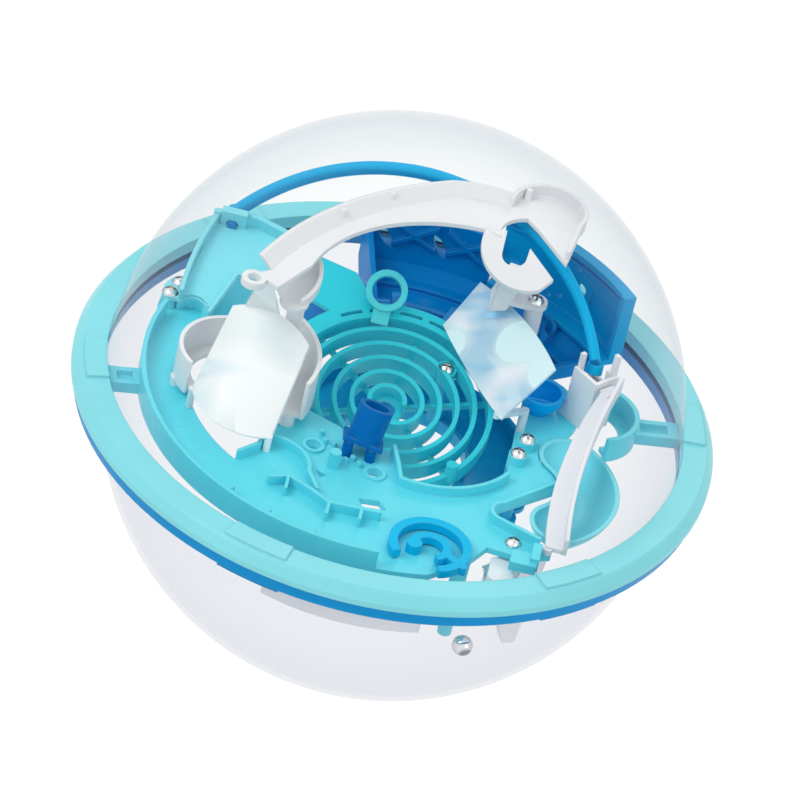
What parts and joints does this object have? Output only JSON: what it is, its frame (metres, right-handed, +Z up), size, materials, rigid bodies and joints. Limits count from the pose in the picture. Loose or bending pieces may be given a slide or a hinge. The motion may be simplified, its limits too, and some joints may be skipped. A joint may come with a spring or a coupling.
{
  "type": "marble maze globe",
  "caption": "Clear ball-shaped maze in a two-tone grip rim: a steel marble is steered by tilting over lanes, a spiral vortex, bowls and a bridge.",
  "frame": {"origin": "centre of the globe, in the middle of the rim", "axes": "+Z up through the top of the upper dome, +X to the right-hand grip, -Y towards the player"},
  "size_m": [0.22, 0.22, 0.2],
  "materials": {
    "clear": "clear gloss",
    "printed_clear": "clear gloss, printed",
    "pale_turquoise": "satin",
    "turquoise": "satin",
    "blue": "satin",
    "dark_blue": "satin",
    "white": "satin",
    "steel": "polished",
    "screw_steel": "plated"
  },
  "bodies": {
    "globe": {"upper_dome": "clear", "lower_dome": "clear", "upper_rim": "pale_turquoise", "lower_rim": "blue", "main_deck": "turquoise", "spiral_vortex": "turquoise", "ball_hoop": "turquoise", "vortex_cup": "blue", "ramp_chute": "turquoise", "left_scoop": "white", "centre_scoop": "white", "left_shield": "printed_clear", "track_chute": "white", "high_track": "white", "hook_bracket": "white", "arch_rail": "blue", "arch_rail_pin": "white", "rear_trough": "dark_blue", "rear_side_plate": "dark_blue", "catch_bowl": "blue", "right_shield": "printed_clear", "bucket": "white", "right_rail": "white", "right_bowl": "turquoise", "right_crescent": "turquoise", "scroll_hook": "blue", "lower_lane": "white", "front_bracket": "white", "lower_tray": "dark_blue", "pan_screws": "screw_steel"},
    "marble": {"marble": "steel"}
  },
  "joints": [
    {"name": "marble_roll", "type": "hinge", "parent": "globe", "child": "marble", "pos_m": [0, 0, 0], "axis": [0, 0, 1], "continuous": true}
  ]
}
